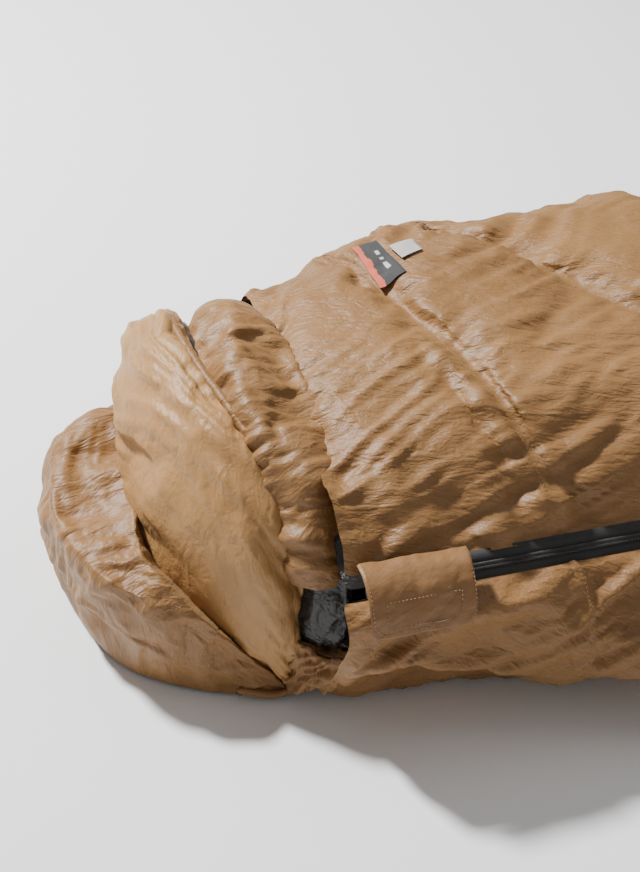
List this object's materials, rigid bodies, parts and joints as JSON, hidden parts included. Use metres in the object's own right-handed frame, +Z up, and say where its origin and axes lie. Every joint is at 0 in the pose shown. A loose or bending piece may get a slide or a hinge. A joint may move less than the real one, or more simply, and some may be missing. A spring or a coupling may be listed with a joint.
{
  "type": "mummy sleeping bag",
  "caption": "Full-length mummy sleeping bag of down-filled golden nylon quilts with a black lining, a shaped hood, a neck collar and a side zip under a flap.",
  "frame": {"origin": "on the ground under the middle of the bag's length and width", "axes": "+X towards the foot, +Z up, -Y the zip side"},
  "size_m": [2.1073, 0.633, 0.299],
  "materials": {
    "golden_nylon_shell": "glossy",
    "black_lining": "glossy",
    "white_down": "matte",
    "mesh_baffle": "matte",
    "black_webbing": "matte",
    "woven_label": "matte",
    "white_tag": "matte",
    "black_coil": "satin",
    "black_plastic": "satin",
    "slider_metal": "satin",
    "spring_steel": "satin"
  },
  "bodies": {
    "bag": {"anti_snag_tape_lower": "black_lining", "bottom_baffle_walls": "mesh_baffle", "bottom_down_chambers": "white_down", "bottom_lining": "black_lining", "bottom_shell": "golden_nylon_shell", "draft_tube_down": "white_down", "draft_tube_shell": "black_lining", "far_side_down_chambers": "white_down", "far_side_lining": "black_lining", "far_side_shell": "golden_nylon_shell", "foot_box_down": "white_down", "foot_box_lining": "black_lining", "foot_box_shell": "golden_nylon_shell", "foot_hang_loops": "black_webbing", "hood_back_down": "white_down", "hood_back_lining": "black_lining", "hood_back_shell": "golden_nylon_shell", "loop_patch": "black_webbing", "side_baffle_walls": "mesh_baffle", "side_tag": "white_tag", "top_baffle_walls": "mesh_baffle", "top_down_chambers": "white_down", "top_lining": "black_lining", "top_shell": "golden_nylon_shell", "woven_label": "woven_label", "zip_coil_lower": "black_coil", "zip_side_down_chambers": "white_down", "zip_side_lining": "black_lining", "zip_side_shell": "golden_nylon_shell", "zip_stops_lower": "black_plastic", "zip_tape_lower": "black_webbing"},
    "top_corner": {"corner_shell": "golden_nylon_shell", "corner_down_chambers": "white_down", "corner_lining": "black_lining", "corner_baffle_walls": "mesh_baffle", "zip_tape_upper": "black_webbing", "zip_coil_upper": "black_coil", "anti_snag_tape_upper": "black_lining", "zip_stops_upper": "black_plastic", "collar_shell": "golden_nylon_shell", "collar_down": "white_down", "collar_cord_channel": "black_lining", "collar_drawcord": "black_webbing"},
    "zip_flap": {"zip_flap": "golden_nylon_shell", "hook_patch": "black_webbing"},
    "top_slider": {"top_slider": "slider_metal"},
    "top_pull_outer": {"top_pull_outer": "slider_metal"},
    "top_pull_inner": {"top_pull_inner": "slider_metal"},
    "bottom_slider": {"bottom_slider": "slider_metal"},
    "bottom_pull": {"bottom_pull": "slider_metal"},
    "hood_brim": {"hood_brim_shell": "golden_nylon_shell", "hood_brim_down": "white_down", "hood_brim_lining": "black_lining", "brim_hem": "golden_nylon_shell", "brim_drawcord": "black_webbing", "brim_eyelets": "black_plastic", "cord_lock_body": "black_plastic", "cord_lock_spring": "spring_steel"},
    "cord_lock_button": {"cord_lock_button": "black_plastic"}
  },
  "joints": [
    {"name": "corner_fold", "type": "hinge", "parent": "bag", "child": "top_corner", "pos_m": [-0.811, 0.14, 0.293], "axis": [-0.9719, 0.2353, 0], "range_deg": [0, 150]},
    {"name": "flap_hinge", "type": "hinge", "parent": "top_corner", "child": "zip_flap", "pos_m": [-0.78567, -0.20917, 0.20257], "axis": [-0.9988, -0.0352, 0.0329], "range_deg": [0, 115]},
    {"name": "top_slider_slide", "type": "slide", "parent": "bag", "child": "top_slider", "axis": [0.9988, 0.0352, -0.0329], "range_m": [0, 0.9]},
    {"name": "top_pull_outer_hinge", "type": "hinge", "parent": "top_slider", "child": "top_pull_outer", "pos_m": [-0.69985, -0.21861, 0.18388], "axis": [0.0021, -0.714, -0.7001], "range_deg": [0, 170]},
    {"name": "top_pull_inner_hinge", "type": "hinge", "parent": "top_slider", "child": "top_pull_inner", "pos_m": [-0.70028, -0.21238, 0.17753], "axis": [0.0021, -0.714, -0.7001], "range_deg": [-80, 80]},
    {"name": "bottom_slider_slide", "type": "slide", "parent": "bag", "child": "bottom_slider", "axis": [-0.9988, -0.0352, 0.0329], "range_m": [0, 0.24]},
    {"name": "bottom_pull_hinge", "type": "hinge", "parent": "bottom_slider", "child": "bottom_pull", "pos_m": [0.48278, -0.17692, 0.14491], "axis": [-0.0021, 0.714, 0.7001], "range_deg": [0, 170]},
    {"name": "hood_brim_tilt", "type": "hinge", "parent": "bag", "child": "hood_brim", "pos_m": [-0.944, 0.025, 0.045], "axis": [0, -1, 0], "range_deg": [0, 30]},
    {"name": "cord_lock_press", "type": "slide", "parent": "hood_brim", "child": "cord_lock_button", "axis": [0, 0, -1], "range_m": [0, 0.002], "stiffness_N_per_m": 400, "springref_m": -0.002, "deforming": ["cord_lock_spring"]}
  ]
}
